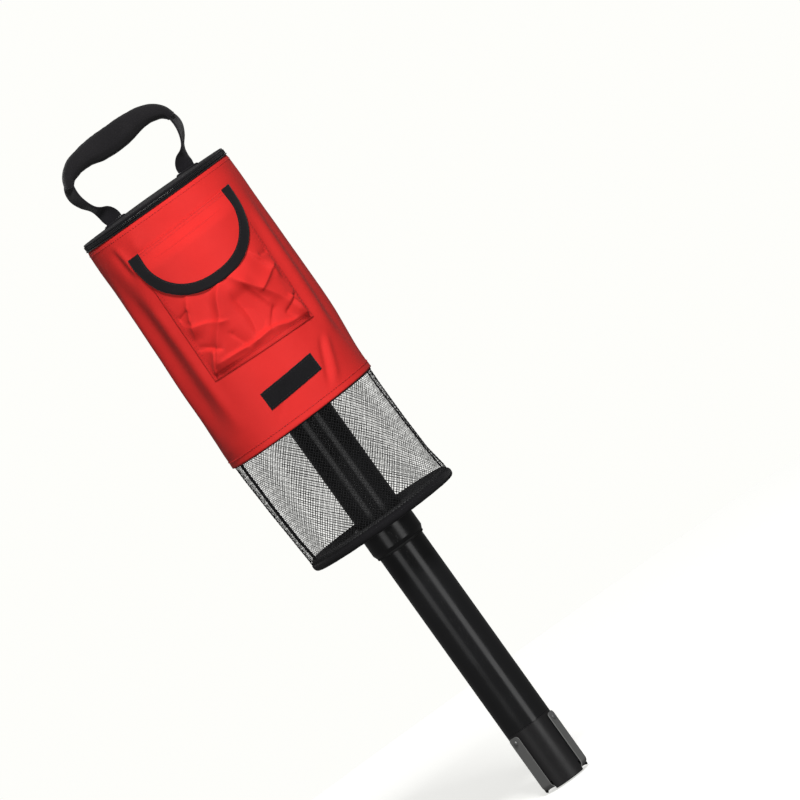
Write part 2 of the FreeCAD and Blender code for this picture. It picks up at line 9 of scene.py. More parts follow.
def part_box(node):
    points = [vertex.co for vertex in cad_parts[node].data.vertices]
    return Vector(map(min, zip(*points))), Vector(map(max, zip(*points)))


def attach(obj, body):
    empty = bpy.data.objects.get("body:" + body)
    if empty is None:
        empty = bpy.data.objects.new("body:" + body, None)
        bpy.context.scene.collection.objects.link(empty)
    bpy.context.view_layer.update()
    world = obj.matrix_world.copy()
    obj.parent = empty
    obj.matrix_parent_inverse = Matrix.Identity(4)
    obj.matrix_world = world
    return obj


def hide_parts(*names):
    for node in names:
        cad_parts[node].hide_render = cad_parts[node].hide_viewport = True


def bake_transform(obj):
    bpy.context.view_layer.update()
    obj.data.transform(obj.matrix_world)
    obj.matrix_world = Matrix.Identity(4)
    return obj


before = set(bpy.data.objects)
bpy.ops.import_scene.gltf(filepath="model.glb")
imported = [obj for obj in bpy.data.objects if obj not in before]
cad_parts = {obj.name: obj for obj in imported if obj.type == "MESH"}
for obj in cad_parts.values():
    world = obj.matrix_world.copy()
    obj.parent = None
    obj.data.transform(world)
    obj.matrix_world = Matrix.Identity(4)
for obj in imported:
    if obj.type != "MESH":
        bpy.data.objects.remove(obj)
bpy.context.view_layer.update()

MM = 0.001
TAU = 2 * math.pi


# --- places taken from the frame ---
def high(node):
    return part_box(node)[1]


def low(node):
    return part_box(node)[0]


SHELL_R = high("shell").x
HEM_Z = low("shell").z
RIM_Z = high("shell").z
PLATE_TOP = high("rim_binding").z
PLATE_BOTTOM = low("rim_binding").z
PLATE_R = high("rim_binding").x
NET_LOW_Z = low("net_skirt").z
NET_TOP_Z = high("net_skirt").z
POCKET_LOW = low("pocket").z
POCKET_HIGH = high("pocket").z
POCKET_FRONT = -low("pocket").y
FLAP_LOW = low("pocket_flap").z
FLAP_HIGH = high("pocket_flap").z
LID_EDGE = low("lid_panel").z
LID_TOP = high("lid_panel").z
LID_R = high("lid_panel").x
ANCHOR_TOP = high("handle_anchor_right").z
ANCHOR_X = (low("handle_anchor_right").x + high("handle_anchor_right").x) / 2
TEETH_R = (high("zip_teeth_lower").x - 1.4 * MM, high("zip_teeth_lower").x)
TEETH_LOW = low("zip_teeth_lower").z
TEETH_HIGH = high("zip_teeth_upper").z

CLOTH = 1.2 * MM
POCKET_HALF_S = 62.5 * MM       # half the pocket's width along the cloth
FLAP_HALF_X = high("flap_binding").x
FLAP_HALF_S = SHELL_R * math.asin(FLAP_HALF_X / (SHELL_R + 4 * MM))
FLAP_TILT = 0.03
PATCH_Z = (low("front_patch").z + high("front_patch").z) / 2
PATCH_S = 2 * MM
PATCH_SIZE = (65.0 * MM, 19.5 * MM)
PATCH_TILT = math.radians(4)
TUCK = 7.5 * MM                 # how far the net and the stays go down into the base ring
STAY_R = 0.0786
TAPE_HALF = 20                  # half the hook and loop tapes' length, in millimetres
UP = (0.0, 0.0, 1.0)


# --- camera, light and stage ---
def studio():
    scene = bpy.context.scene
    scene.view_settings.view_transform = "Standard"
    azimuth = math.radians(-7)
    elevation = math.radians(3.0)
    roll = math.radians(35.5)
    distance = 9.0
    aside, height = 0.0817, 0.397
    aim = Vector((aside * math.cos(azimuth), aside * math.sin(azimuth), height))
    back = Vector((
        math.sin(azimuth) * math.cos(elevation),
        -math.cos(azimuth) * math.cos(elevation),
        math.sin(elevation),
    ))
    right = Vector((math.cos(azimuth), math.sin(azimuth), 0))
    up = back.cross(right)
    cam_right = right * math.cos(roll) - up * math.sin(roll)
    cam_up = right * math.sin(roll) + up * math.cos(roll)
    data = bpy.data.cameras.new("camera")
    data.sensor_width = 36
    data.lens = 415
    data.clip_end = 60
    camera = bpy.data.objects.new("camera", data)
    scene.collection.objects.link(camera)
    place = Matrix((cam_right, cam_up, back)).transposed().to_4x4()
    place.translation = aim + back * distance
    camera.matrix_world = place
    scene.camera = camera
    return azimuth


def area_light(name, azimuth, elevation, distance, size, power, glossy=True, diffuse=True,
               target=(0, 0, 0.42)):
    data = bpy.data.lights.new(name, "AREA")
    data.shape = "RECTANGLE"
    data.size, data.size_y = size
    data.energy = power
    light = bpy.data.objects.new(name, data)
    bpy.context.scene.collection.objects.link(light)
    offset = Vector((
        math.sin(azimuth) * math.cos(elevation), -math.cos(azimuth) * math.cos(elevation), math.sin(elevation)
    ))
    light.location = Vector(target) + offset * distance
    light.rotation_euler = offset.to_track_quat("Z", "Y").to_euler()
    light.visible_glossy = glossy
    light.visible_diffuse = diffuse
    return light


def world_light():
    """Off-white to the camera, a dim even fill for everything else."""
    world = bpy.data.worlds.new("studio")
    bpy.context.scene.world = world
    world.use_nodes = True
    tree = world.node_tree
    out = tree.nodes["World Output"]
    fill = tree.nodes["Background"]
    fill.inputs["Color"].default_value = (1, 1, 1, 1)
    fill.inputs["Strength"].default_value = 0.08
    gloss = tree.nodes.new("ShaderNodeBackground")
    gloss.inputs["Strength"].default_value = 0.12
    backdrop = tree.nodes.new("ShaderNodeBackground")
    backdrop.inputs["Color"].default_value = (0.99, 0.99, 0.96, 1)
    backdrop.inputs["Strength"].default_value = 1.0
    path = tree.nodes.new("ShaderNodeLightPath")
    mix_gloss = tree.nodes.new("ShaderNodeMixShader")
    mix_camera = tree.nodes.new("ShaderNodeMixShader")
    tree.links.new(path.outputs["Is Glossy Ray"], mix_gloss.inputs[0])
    tree.links.new(fill.outputs[0], mix_gloss.inputs[1])
    tree.links.new(gloss.outputs[0], mix_gloss.inputs[2])
    tree.links.new(path.outputs["Is Camera Ray"], mix_camera.inputs[0])
    tree.links.new(mix_gloss.outputs[0], mix_camera.inputs[1])
    tree.links.new(backdrop.outputs[0], mix_camera.inputs[2])
    tree.links.new(mix_camera.outputs[0], out.inputs["Surface"])


def floor():
    """A pale floor that is seen and takes shadows, but throws no light back on the bag."""
    bpy.ops.mesh.primitive_circle_add(vertices=96, radius=1.6, fill_type="NGON", location=(0, 0, -0.0015))
    plane = bpy.context.object
    plane.name = "floor"
    mat = bpy.data.materials.new("floor")
    mat.use_nodes = True
    bsdf = mat.node_tree.nodes["Principled BSDF"]
    bsdf.inputs["Base Color"].default_value = (0.6, 0.6, 0.59, 1)
    bsdf.inputs["Emission Color"].default_value = (1, 1, 0.97, 1)
    bsdf.inputs["Emission Strength"].default_value = 0.62
    bsdf.inputs["Roughness"].default_value = 0.9
    bsdf.inputs["Specular IOR Level"].default_value = 0.1
    plane.data.materials.append(mat)
    plane.visible_glossy = False
    plane.visible_diffuse = False


view_azimuth = studio()
world_light()
floor()
area_light("strip_left", view_azimuth - math.radians(35), 0.0, 2.4, (0.95, 1.8), 9, diffuse=False,
           target=(0, 0, 0.96))
area_light("strip_right", view_azimuth + math.radians(33), 0.05, 2.4, (0.95, 2.6), 13, diffuse=False)
area_light("key_front", view_azimuth + math.radians(12), 0.74, 3.0, (0.5, 0.5), 95, glossy=False)
area_light("soft_front", view_azimuth - math.radians(2), -0.02, 2.2, (0.6, 0.5), 17, glossy=False,
           target=(0, 0, 0.46))
area_light("fill_right", view_azimuth + math.radians(75), 0.3, 3.0, (1.6, 1.6), 5, glossy=False)
area_light("fill_back", math.pi + 0.3, 0.5, 3.0, (2.0, 2.0), 30, glossy=False)


# --- mesh helpers ---
def new_object(name, verts, faces, uvs=None):
    """Smooth-shaded mesh object; uvs is one (u, v) per face corner, in metres along the cloth."""
    mesh = bpy.data.meshes.new(name)
    mesh.from_pydata([tuple(v) for v in verts], [], [tuple(f) for f in faces])
    mesh.polygons.foreach_set("use_smooth", [True] * len(mesh.polygons))
    if uvs is not None:
        layer = mesh.uv_layers.new(name="weave")
        layer.data.foreach_set("uv", np.asarray(uvs, np.float32).ravel())
    mesh.update()
    obj = bpy.data.objects.new(name, mesh)
    bpy.context.scene.collection.objects.link(obj)
    return obj


def grid(name, points, uv, closed=False):
    """Quad sheet over points[row][column]; uv[row][column] has one more column when closed."""
    rows, cols = points.shape[:2]
    spans = cols if closed else cols - 1
    r, c = np.meshgrid(np.arange(rows - 1), np.arange(spans), indexing="ij")
    nxt = (c + 1) % cols
    faces = np.stack([r * cols + c, r * cols + nxt, (r + 1) * cols + nxt, (r + 1) * cols + c], -1)
    corner = np.stack([uv[r, c], uv[r, c + 1], uv[r + 1, c + 1], uv[r + 1, c]], 2).reshape(-1, 2)
    return new_object(name, points.reshape(-1, 3), faces.reshape(-1, 4), corner)


def thicken(obj, thickness, offset=-1.0):
    mod = obj.modifiers.new("thickness", "SOLIDIFY")
    mod.thickness = thickness
    mod.offset = offset
    return obj


def bevel(obj, width):
    mod = obj.modifiers.new("edges", "BEVEL")
    mod.width = width
    mod.segments = 2
    mod.limit_method = "ANGLE"
    mod.angle_limit = math.radians(35)
    mod.harden_normals = True


def section_loop(width, height, power, count):
    """Rounded flat loop: points of a superellipse."""
    out = []
    for i in range(count):
        a = TAU * i / count
        c, s = math.cos(a), math.sin(a)
        out.append((
            width / 2 * math.copysign(abs(c) ** (2 / power), c),
            height / 2 * math.copysign(abs(s) ** (2 / power), s),
        ))
    return out


def sweep(name, centres, side, normal, loops, closed=False):
    """Skin a loop of (across, out) offsets along centres, with a side and a normal vector at each."""
    centres, side, normal = (np.asarray(x, float) for x in (centres, side, normal))
    loops = np.asarray(loops, float)
    if loops.ndim == 2:
        loops = np.broadcast_to(loops, (len(centres),) + loops.shape)
    points = (
        centres[:, None] + side[:, None] * loops[:, :, :1] + normal[:, None] * loops[:, :, 1:2]
    )
    count = loops.shape[1]
    n = len(centres)
    spans = n if closed else n - 1
    faces, uvs = [], []
    along = np.concatenate([[0], np.cumsum(np.linalg.norm(np.diff(centres, axis=0), axis=1))])
    girth = np.concatenate([[0], np.cumsum(np.linalg.norm(np.diff(loops[n // 2], axis=0), axis=1))])
    girth = np.append(girth, girth[-1] + girth[1])
    step = along[1]
    for i in range(spans):
        j = (i + 1) % n
        for k in range(count):
            m = (k + 1) % count
            faces.append((i * count + k, i * count + m, j * count + m, j * count + k))
            a0 = along[i]
            a1 = a0 + step
            uvs += [(a0, girth[k]), (a0, girth[k + 1]), (a1, girth[k + 1]), (a1, girth[k])]
    if not closed:
        faces.append(tuple(range(count)))
        uvs += [(0, 0)] * count
        faces.append(tuple((n - 1) * count + k for k in reversed(range(count))))
        uvs += [(0, 0)] * count
    return new_object(name, points.reshape(-1, 3), faces, uvs)


def headings(points):
    """Unit vectors along a line of points."""
    run = np.gradient(points, axis=0)
    return run / np.linalg.norm(run, axis=1)[:, None]


def merged(name, parts):
    """One mesh from many (verts, faces) parts."""
    verts, faces = [], []
    for v, f in parts:
        base = len(verts)
        verts.extend(v)
        faces.extend([tuple(base + i for i in q) for q in f])
    return new_object(name, verts, faces)


def stitch_row(path, outward, length=2.6 * MM, pitch=3.4 * MM, width=0.7 * MM, height=0.55 * MM):
    """Dashes of thread along a path; returns (verts, faces) parts."""
    path = np.asarray(path, float)
    outward = np.asarray(outward, float)
    span = np.linalg.norm(np.diff(path, axis=0), axis=1)
    along = np.concatenate([[0], np.cumsum(span)])
    ring = [(0.0, -0.5, 0.0), (0.0, 0.5, 0.0), (0.0, 0.0, 1.0)]
    parts = []
    for i in range(int(along[-1] / pitch)):
        mid = (i + 0.5) * pitch
        ends = []
        for t in (-0.5, -0.28, 0.28, 0.5):
            s = mid + t * length
            ends.append([np.interp(s, along, path[:, k]) for k in range(3)])
        ends = np.array(ends)
        out = np.array([np.interp(mid, along, outward[:, k]) for k in range(3)])
        out /= np.linalg.norm(out)
        run = ends[3] - ends[0]
        across = np.cross(run, out)
        across /= np.linalg.norm(across)
        verts = []
        for e, k in zip(ends, (0.35, 1.0, 1.0, 0.35)):
            for _, a, h in ring:
                verts.append(e + across * a * width * k + out * (h * height * k - 0.1 * height))
        faces = [(0, 1, 2), (11, 10, 9)]
        for s in range(3):
            b = s * 3
            faces += [(b, b + 3, b + 4, b + 1), (b + 1, b + 4, b + 5, b + 2), (b + 2, b + 5, b + 3, b)]
        parts.append((verts, faces))
    return parts


# --- materials ---
class Shader:
    """A Principled material and short ways to add nodes to it."""

    def __init__(self, name, color, roughness, **settings):
        self.mat = bpy.data.materials.new(name)
        self.mat.use_nodes = True
        self.tree = self.mat.node_tree
        self.bsdf = self.tree.nodes["Principled BSDF"]
        self.color = color
        self.bsdf.inputs["Base Color"].default_value = (*color, 1)
        self.bsdf.inputs["Roughness"].default_value = roughness
        for key, value in settings.items():
            self.bsdf.inputs[key.replace("_", " ")].default_value = value

    def node(self, kind, **props):
        n = self.tree.nodes.new("ShaderNode" + kind)
        for key, value in props.items():
            setattr(n, key, value)
        return n

    def link(self, a, b):
        self.tree.links.new(a, b)

    def math(self, operation, a, b=None):
        n = self.node("Math", operation=operation)
        for socket, value in zip(n.inputs, (a, b)):
            if value is None:
                continue
            if isinstance(value, (int, float)):
                socket.default_value = value
            else:
                self.link(value, socket)
        return n.outputs[0]

    def coords(self, use_uv, scale=(1, 1, 1)):
        source = self.node("UVMap", uv_map="weave") if use_uv else self.node("TexCoord")
        mapping = self.node("Mapping")
        mapping.inputs["Scale"].default_value = scale
        self.link(source.outputs["UV" if use_uv else "Object"], mapping.inputs["Vector"])
        return mapping.outputs["Vector"]

    def noise(self, vector, scale, detail=4.0, roughness=0.55):
        n = self.node("TexNoise")
        n.inputs["Scale"].default_value = scale
        n.inputs["Detail"].default_value = detail
        n.inputs["Roughness"].default_value = roughness
        self.link(vector, n.inputs["Vector"])
        return n.outputs["Fac"]

    def spread(self, value, low, high, to_low, to_high):
        n = self.node("MapRange")
        for key, x in zip(("From Min", "From Max", "To Min", "To Max"), (low, high, to_low, to_high)):
            n.inputs[key].default_value = x
        self.link(value, n.inputs["Value"])
        return n.outputs["Result"]

    def blend_color(self, factor, a, b):
        n = self.node("Mix", data_type="RGBA")
        for socket, value in ((n.inputs[6], a), (n.inputs[7], b)):
            if isinstance(value, tuple):
                socket.default_value = (*value, 1)
            else:
                self.link(value, socket)
        self.link(factor, n.inputs[0])
        return n.outputs[2]

    def bump(self, height, distance, strength=1.0, normal=None):
        n = self.node("Bump")
        n.inputs["Distance"].default_value = distance
        n.inputs["Strength"].default_value = strength
        self.link(height, n.inputs["Height"])
        if normal is not None:
            self.link(normal, n.inputs["Normal"])
        return n.outputs["Normal"]

    def to(self, socket, value):
        self.link(value, self.bsdf.inputs[socket])


def waves(shader, vector, pitch_u, pitch_v):
    """Threads crossing at a pitch along u and v, as a height from 0 to 1."""
    parts = shader.node("SeparateXYZ")
    shader.link(vector, parts.inputs[0])
    u = shader.math("SINE", shader.math("MULTIPLY", parts.outputs[0], TAU / pitch_u))
    if pitch_v is None:
        return shader.spread(u, -1, 1, 0, 1)
    v = shader.math("SINE", shader.math("MULTIPLY", parts.outputs[1], TAU / pitch_v))
    return shader.spread(shader.math("MULTIPLY", u, v), -1, 1, 0, 1)


def woven(name, color, shade, roughness, pitch, depth, sheen=0.08, use_uv=True, mottling=0.25, fuzz=0.0,
          tint=(1, 1, 1, 1), rib=False, specular=0.3):
    """Woven cloth: crossing thread lines or ribs, mottled colour, painted shade in the weave's gaps, uneven
    roughness and a sheen.
    """
    s = Shader(name, color, roughness, Sheen_Weight=sheen, Sheen_Roughness=0.45, Sheen_Tint=tint,
               Specular_IOR_Level=specular)
    vector = s.coords(use_uv)
    solid = s.coords(False)
    weave = waves(s, vector, pitch, None if rib else pitch)
    patchy = s.noise(solid, 38, 5)
    fine = s.noise(solid, 900, 3)
    # the weave's low gaps are mixed up to 55% towards the shade colour: painted shade between the thread
    # crossings
    thread_gap_shade = s.blend_color(s.spread(weave, 0, 1, 0.55, 0.0), color, shade)
    s.to("Base Color", s.blend_color(s.spread(patchy, 0.35, 0.7, 0, mottling), thread_gap_shade, shade))
    s.to("Roughness", s.spread(fine, 0.3, 0.7, roughness - 0.07, roughness + 0.09))
    normal = s.bump(weave, depth, 0.7)
    if fuzz:
        normal = s.bump(s.noise(solid, 1600, 4, 0.7), fuzz, 0.8, normal)
    else:
        normal = s.bump(fine, depth * 0.5, 0.5, normal)
    s.to("Normal", normal)
    return s.mat


def coated(name, color, roughness, scuff, gloss_spread=0.06, grain=0.00004, metallic=0.0, streak=(1, 1, 1),
           scuff_amount=0.35, specular=0.5):
    """Smooth hard surface: fine scratches, smudges and scuffed patches."""
    s = Shader(name, color, roughness, Metallic=metallic, Specular_IOR_Level=specular)
    solid = s.coords(False)
    lines = s.noise(s.coords(False, streak), 260, 6, 0.7)
    smudge = s.noise(solid, 22, 3)
    worn = s.spread(s.noise(solid, 120, 8, 0.75), 0.62, 0.75, 0, scuff_amount)
    s.to("Base Color", s.blend_color(worn, color, scuff))
    rough = s.math("ADD", s.spread(smudge, 0.3, 0.7, roughness - gloss_spread, roughness + gloss_spread),
                   s.spread(worn, 0, 1, 0, 0.3))
    s.to("Roughness", rough)
    s.to("Normal", s.bump(lines, grain, 0.35))
    return s.mat


# the _SHADE colours are darker tones: woven() mixes them in for random mottling and as painted shade in the
# weave's gaps
BLACK = (0.012, 0.011, 0.0125)
BLACK_SHADE = (0.004, 0.004, 0.005)
RED = (0.70, 0.032, 0.028)
RED_SHADE = (0.44, 0.012, 0.012)

MATERIALS = {
    "red_nylon": woven("red_nylon", RED, RED_SHADE, 0.5, 0.5 * MM, 0.04 * MM, sheen=0.03, mottling=0.16,
                       tint=(1, 0.55, 0.5, 1), specular=0.18),
    "red_thread": woven("red_thread", (0.62, 0.02, 0.022), RED_SHADE, 0.55, 0.3 * MM, 0.02 * MM,
                        use_uv=False),
    "black_thread": woven("black_thread", (0.02, 0.02, 0.022), BLACK_SHADE, 0.55, 0.3 * MM, 0.02 * MM,
                          use_uv=False),
    "binding": woven("binding", BLACK, BLACK_SHADE, 0.72, 0.7 * MM, 0.12 * MM, sheen=0.08, rib=True),
    "ring_binding": woven("ring_binding", (0.010, 0.0095, 0.0105), BLACK_SHADE, 0.72, 0.7 * MM, 0.12 * MM,
                          sheen=0.04, rib=True),
    "lid_cloth": woven("lid_cloth", BLACK, BLACK_SHADE, 0.68, 0.6 * MM, 0.06 * MM, sheen=0.08),
    "webbing": woven("webbing", (0.014, 0.013, 0.015), BLACK_SHADE, 0.75, 1.3 * MM, 0.2 * MM, sheen=0.12,
                     fuzz=0.05 * MM),
    "grip_cloth": woven("grip_cloth", (0.016, 0.015, 0.016), BLACK_SHADE, 0.8, 1.1 * MM, 0.16 * MM,
                        sheen=0.12, fuzz=0.08 * MM),
    "net_cord": woven("net_cord", (0.014, 0.014, 0.0145), BLACK_SHADE, 0.6, 0.5 * MM, 0.05 * MM, sheen=0.05,
                      use_uv=False),
    "stay_tape": woven("stay_tape", BLACK, BLACK_SHADE, 0.75, 0.9 * MM, 0.12 * MM, sheen=0.05, rib=True),
    "zip_tape": woven("zip_tape", BLACK, BLACK_SHADE, 0.7, 0.6 * MM, 0.05 * MM, use_uv=False),
    "pile": woven("pile", (0.011, 0.0105, 0.0115), BLACK_SHADE, 0.9, 0.8 * MM, 0.1 * MM, sheen=0.12,
                  fuzz=0.35 * MM),
    "tube": coated("tube", (0.009, 0.009, 0.0095), 0.2, (0.05, 0.05, 0.05), streak=(1, 1, 0.04),
                   scuff_amount=0.2),
    "tip": coated("tip", (0.013, 0.0125, 0.013), 0.36, (0.07, 0.07, 0.07), streak=(1, 1, 0.2),
                  scuff_amount=0.5),
    "collar": coated("collar", (0.010, 0.010, 0.0105), 0.22, (0.05, 0.05, 0.05), streak=(0.3, 0.3, 1)),
    # the base plate's dark grey is lighter than the other black parts so that its top shows as a grey
    # crescent inside the base ring: partly the plate's own dark grey, partly a painted highlight
    "plastic": coated("plastic", (0.03, 0.03, 0.031), 0.34, (0.06, 0.06, 0.06), grain=0.00008),
    "rubber": coated("rubber", (0.008, 0.008, 0.008), 0.6, (0.03, 0.03, 0.03), grain=0.0001),
    "steel": coated("steel", (0.30, 0.30, 0.295), 0.42, (0.14, 0.13, 0.12), metallic=0.55,
                    streak=(1, 1, 0.05), scuff_amount=0.5, grain=0.00006),
    "screw": coated("screw", (0.45, 0.45, 0.45), 0.35, (0.2, 0.2, 0.2), metallic=0.9),
    "zip_metal": coated("zip_metal", (0.05, 0.05, 0.054), 0.32, (0.2, 0.2, 0.2), metallic=0.7),
    "zip_teeth": coated("zip_teeth", (0.012, 0.012, 0.013), 0.35, (0.05, 0.05, 0.05)),
}


def dress(obj, material, body=None, stands_for=()):
    """Give a piece its material and body, and hide the CAD nodes it stands for."""
    obj.data.materials.clear()
    obj.data.materials.append(MATERIALS[material])
    if body:
        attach(obj, body)
    if stands_for:
        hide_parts(*stands_for)
    return obj


def dress_node(node, material, edge=None):
    """A carried-over CAD node keeps its shape and gets a better material and softer edges."""
    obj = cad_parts[node]
    if obj.material_slots:
        for material_slot in obj.material_slots:
            material_slot.material = MATERIALS[material]
    else:
        obj.data.materials.append(MATERIALS[material])
    if edge:
        bevel(obj, edge)
    return obj


# --- the bag's surface ---
def soft_step(x):
    x = np.clip(x, 0, 1)
    return x * x * (3 - 2 * x)


def lean(z):
    """The soft bag sits a little to the left of the tube between its base and its rim."""
    height = (np.asarray(z) - PLATE_TOP) / (RIM_Z - PLATE_TOP)
    return -np.interp(height, (0, 0.06, 0.16, 0.27, 0.36, 0.5, 0.66, 0.82, 0.95, 1),
                      (0.8, 3.2, 5.0, 6.1, 6.0, 3.8, 2.4, 1.5, 0.2, 0)) * MM


def rough_field(x, y, z, scale, seed):
    """Smooth noise over arrays, in -1..1."""
    shape = np.shape(x)
    flat = zip(np.ravel(x), np.ravel(y), np.ravel(z))
    shift = Vector((seed * 7.3, seed * 3.1, seed * 5.7))
    values = [noise.noise(Vector(p) / scale + shift) for p in flat]
    return np.array(values).reshape(shape)


def shell_radius(z):
    shoulder = RIM_Z - 90 * MM
    rounded = np.clip((z - RIM_Z + 5 * MM) / (5 * MM), 0, 1) ** 2
    return SHELL_R - 0.6 * MM * np.clip((z - shoulder) / (RIM_Z - shoulder), 0, 1) - 0.8 * MM * rounded


# soft folds of the shell: place round the front, slant, lowest and highest point, width and height,
# all but the slant in millimetres
SHELL_FOLDS = (
    (-70, -0.05, 455, 650, 8, 2.2), (-95, -0.03, 445, 672, 14, -4.0), (-124, 0.05, 460, 670, 12, 2.2),
    (-68, -0.15, 640, 688, 5, 1.9), (-78, -0.05, 640, 688, 6, -1.6), (-52, 0.1, 660, 688, 6, 1.0),
    (62, 0.06, 500, 650, 9, -1.4), (78, 0.03, 470, 665, 10, 1.8), (96, 0.02, 455, 670, 13, -2.8),
    (30, 0.5, 446, 500, 4, -1.6), (40, 0.45, 444, 500, 5, 1.6), (-34, 0.9, 446, 486, 6, -0.9),
    (130, 0.05, 460, 670, 12, 2.0), (165, -0.06, 455, 660, 10, -2.0), (196, 0.04, 450, 640, 11, 1.8),
    (-150, 0.07, 470, 680, 12, -2.2), (-182, 0.04, 450, 640, 11, 1.8), (-214, 0.05, 480, 670, 10, -1.5),
    (240, 0.05, 480, 670, 12, -1.8),
)


def shell_relief(azimuth, z):
    """How far the cloth stands off its plain round shape."""
    x = np.sin(azimuth) * SHELL_R
    y = -np.cos(azimuth) * SHELL_R
    held = soft_step((RIM_Z - z) / (25 * MM)) * (0.35 + 0.65 * soft_step((z - HEM_Z) / (30 * MM)))
    broad = rough_field(x, y, z * 0.45, 0.05, 1) * 1.5 * MM
    fine = rough_field(x, y, z * 0.4, 0.018, 2) * 0.5 * MM
    s = azimuth * SHELL_R
    shape = broad + fine
    for at, slant, z_low, z_high, width, height in SHELL_FOLDS:
        run = (z - z_low * MM) / ((z_high - z_low) * MM)
        fade = soft_step(run / 0.3) * soft_step((1 - run) / 0.3)
        off = s - at * MM - slant * (z - z_low * MM)
        shape = shape + fade * height * MM * np.exp(-(off / (width * MM)) ** 2)
    return held * shape


def on_shell(azimuth, z, out=0.0):
    """Points on the shell's outer surface, or a distance out from it."""
    azimuth, z = np.broadcast_arrays(np.asarray(azimuth, float), np.asarray(z, float))
    r = shell_radius(z) + shell_relief(azimuth, z) + out
    return np.stack([r * np.sin(azimuth) + lean(z), -r * np.cos(azimuth), z], -1)


def azimuths(count, closed=False):
    """Right round the bag, from the back over the front; a closed ring leaves out the last one."""
    return np.linspace(-math.pi, math.pi, count, endpoint=not closed)


def shell_normal(azimuth):
    azimuth = np.asarray(azimuth, float)
    return np.stack([np.sin(azimuth), -np.cos(azimuth), np.zeros_like(azimuth)], -1)


def hem_line(azimuth):
    """The hem hangs a little lower on the left."""
    return HEM_Z + 1.6 * MM * np.sin(azimuth)


def build_shell():
    cols, rows = 300, 150
    azimuth = azimuths(cols, True)
    v = np.linspace(0, 1, rows)
    a, t = np.meshgrid(azimuth, v)
    z = hem_line(a) + t * (RIM_Z - hem_line(a))
    hem = soft_step(1 - (z - hem_line(a)) / (9 * MM)) * 0.25 * MM
    points = on_shell(a, z, hem - 0.1 * MM)
    u = azimuths(cols + 1) * SHELL_R
    uv = np.stack(np.meshgrid(u, v * (RIM_Z - HEM_Z)), -1)
    shell = grid("shell_cloth", points, uv, closed=True)
    thicken(shell, CLOTH)
    dress(shell, "red_nylon", "bag", ["shell"])


def build_shell_stitching():
    a = azimuths(500)
    parts = stitch_row(on_shell(a, hem_line(a) + 7.0 * MM, 0.25 * MM), shell_normal(a))
    parts += stitch_row(on_shell(a, RIM_Z - 4.5 * MM, 0.0), shell_normal(a))
    back_seam = math.radians(168)
    for side in (-2.2 * MM, 2.2 * MM):
        z = np.linspace(HEM_Z + 8 * MM, RIM_Z - 6 * MM, 90)
        a = np.full_like(z, back_seam + side / SHELL_R)
        parts += stitch_row(on_shell(a, z, 0.1 * MM), shell_normal(a))
    dress(merged("shell_stitching", parts), "red_thread", "bag")


# --- net, base ring and hem ---
NET_PROFILE = ((0, 81.1), (24, 80.0), (74, 80.8), (118, 81.7), (134, 81.7))     # height over the foot, radius


def net_point(azimuth, z, out=0.0):
    heights, radii = np.array(NET_PROFILE).T * MM
    r = np.interp(z - NET_LOW_Z, heights, radii) + out
    return np.stack([r * np.sin(azimuth) + lean(z), -r * np.cos(azimuth), z], -1)


def build_net():
    """Two crossing families of fine cords, knitted into diamonds."""
    strands, steps, half = 141, 36, 0.27 * MM
    z = np.linspace(NET_LOW_Z - TUCK, NET_TOP_Z, steps)
    verts, faces = [], []
    for turn in (-1, 1):
        for k in range(strands):
            wobble = 0.35 * MM * math.sin(k * 2.7) / SHELL_R
            azimuth = TAU * k / strands + turn * (z - NET_LOW_Z) / SHELL_R + wobble
            weave = turn * 0.22 * MM * np.cos(np.arange(steps) * math.pi)
            centre = net_point(azimuth, z, weave)
            out = shell_normal(azimuth)
            across = np.cross(headings(centre), out)
            ring = [centre + out * half * 0.5, centre + across * half,
                    centre - out * half * 0.5, centre - across * half]
            base = len(verts)
            verts.extend(np.stack(ring, 1).reshape(-1, 3))
            for i in range(steps - 1):
                a = base + i * 4
                faces += [(a + j, a + (j + 1) % 4, a + 4 + (j + 1) % 4, a + 4 + j) for j in range(4)]
            faces.append((base + 3, base + 2, base + 1, base))
            last = base + (steps - 1) * 4
            faces.append((last, last + 1, last + 2, last + 3))
    net = new_object("net_cloth", verts, faces)
    dress(net, "net_cord", "bag", ["net_skirt"])


def around(name, radius, z, across, up, power, count, wave, material="binding", body="bag", stands_for=()):
    """A rounded band right round the bag."""
    turns = 360
    a = azimuths(turns, True)
    height = np.full_like(a, z)
    out = shell_normal(a)
    bump = rough_field(np.sin(a), np.cos(a), 0 * a, 0.08, 4) * wave
    centre = out * (radius + bump)[:, None]
    centre[:, 2] = height + bump * 0.6
    up_axis = np.tile(UP, (turns, 1))
    ring = sweep(name, centre, out, up_axis, section_loop(across, up, power, count), closed=True)
    dress(ring, material, body, stands_for)


def build_base_ring():
    middle = (PLATE_TOP + PLATE_BOTTOM) / 2
    around("base_ring_binding", PLATE_R - 3.7 * MM, middle - 1.9 * MM, 8.0 * MM,
           PLATE_TOP - PLATE_BOTTOM - 4.0 * MM, power=2.2, count=22, wave=0.3 * MM, material="ring_binding",
           stands_for=["rim_binding"])
    a = azimuths(420)
    path = shell_normal(a) * (PLATE_R - 0.05 * MM)
    path[:, 2] = middle - 0.5 * MM
    stitches = merged("base_ring_stitching", stitch_row(path, shell_normal(a)))
    dress(stitches, "black_thread", "bag")


def build_hem_tape():
    rows, cols = 5, 300
    a, t = np.meshgrid(azimuths(cols, True), np.linspace(0, 1, rows))
    z = hem_line(a) - (1.3 * MM + 0.5 * MM * np.sin(a)) + t * 10.0 * MM
    points = on_shell(a, z, -CLOTH - 0.15 * MM)
    uv = np.stack(np.meshgrid(np.linspace(0, TAU * SHELL_R, cols + 1), np.linspace(0, 10 * MM, rows)), -1)
    tape = grid("hem_tape_cloth", points, uv, closed=True)
    thicken(tape, 0.6 * MM)
    dress(tape, "binding", "bag", ["hem_tape"])


